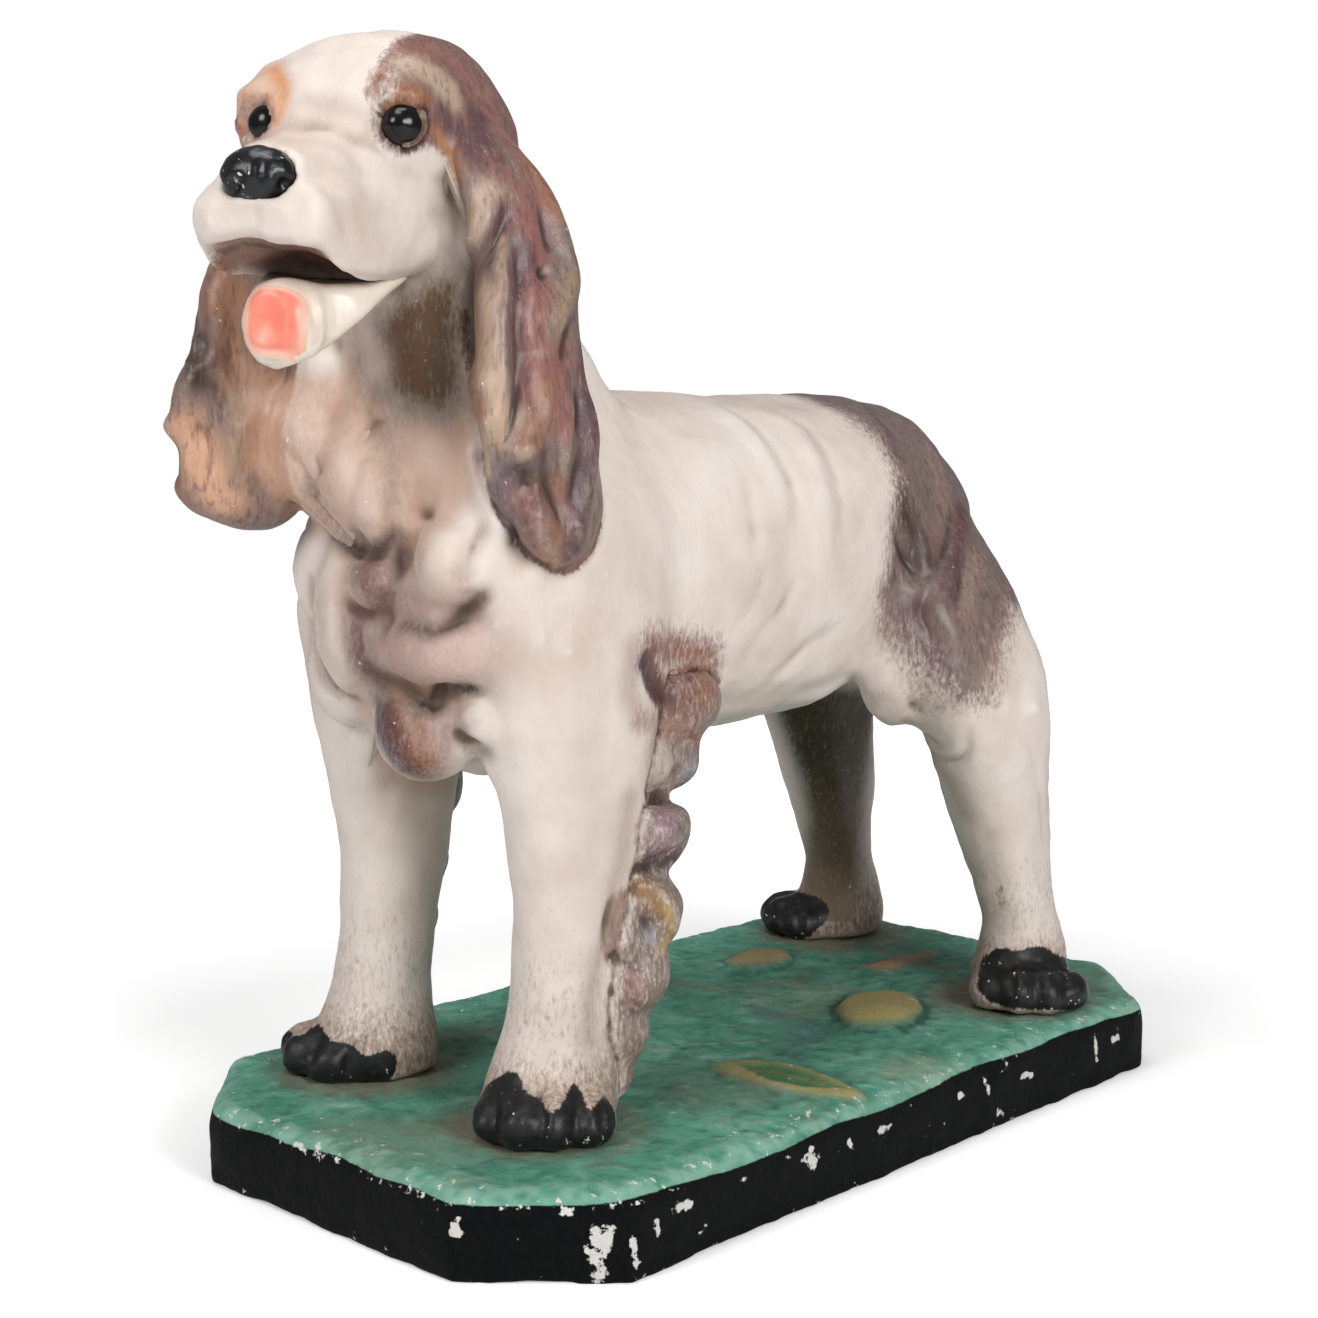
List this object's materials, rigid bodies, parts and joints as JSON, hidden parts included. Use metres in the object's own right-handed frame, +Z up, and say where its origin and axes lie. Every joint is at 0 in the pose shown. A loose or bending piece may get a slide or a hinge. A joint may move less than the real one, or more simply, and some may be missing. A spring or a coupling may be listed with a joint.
{
  "type": "garden dog statue",
  "caption": "Standing spaniel statue with an open mouth and long wavy ears on a plinth with cut corners, painted hollow resin castings held on a steel armature.",
  "frame": {"origin": "middle of the plinth's underside, on the face of the base board that rests on the ground", "axes": "+Z up, the dog faces -Y, its left side is +X"},
  "size_m": [0.328, 0.6658, 0.6109],
  "materials": {
    "cream_paint": "worn satin cream paint over white resin",
    "brown_paint": "streaked glossy brown paint over white resin",
    "black_paint": "glossy black paint, chipped",
    "turf_paint": "mottled green paint over black sides, chipped",
    "tongue_paint": "satin coral paint",
    "eye_gloss": "high gloss",
    "steel": "plain bar and rod",
    "board": "plain board"
  },
  "bodies": {
    "root": {"plinth": "turf_paint", "base_board": "board", "base_board_screw_1": "steel", "base_board_screw_2": "steel", "base_board_screw_3": "steel", "base_board_screw_4": "steel", "base_board_screw_5": "steel", "base_board_screw_6": "steel", "torso": "cream_paint", "chest_ruff": "cream_paint", "head": "cream_paint", "lower_jaw": "cream_paint", "tongue": "tongue_paint", "nose": "black_paint", "left_eye": "eye_gloss", "right_eye": "eye_gloss", "left_ear": "brown_paint", "right_ear": "brown_paint", "left_foreleg": "cream_paint", "right_foreleg": "cream_paint", "left_hindleg": "cream_paint", "right_hindleg": "cream_paint", "left_foreleg_feathering": "brown_paint", "left_foreleg_elbow_tuft": "brown_paint", "right_foreleg_feathering": "brown_paint", "right_foreleg_elbow_tuft": "brown_paint", "tail": "brown_paint", "left_foreleg_rod": "steel", "left_foreleg_washer": "steel", "left_foreleg_base_nut": "steel", "left_foreleg_yoke_nut": "steel", "right_foreleg_rod": "steel", "right_foreleg_washer": "steel", "right_foreleg_base_nut": "steel", "right_foreleg_yoke_nut": "steel", "left_hindleg_rod": "steel", "left_hindleg_washer": "steel", "left_hindleg_base_nut": "steel", "left_hindleg_yoke_nut": "steel", "right_hindleg_rod": "steel", "right_hindleg_washer": "steel", "right_hindleg_base_nut": "steel", "right_hindleg_yoke_nut": "steel", "front_yoke": "steel", "rear_yoke": "steel", "spine_bar": "steel", "neck_rod": "steel"}
  },
  "joints": []
}
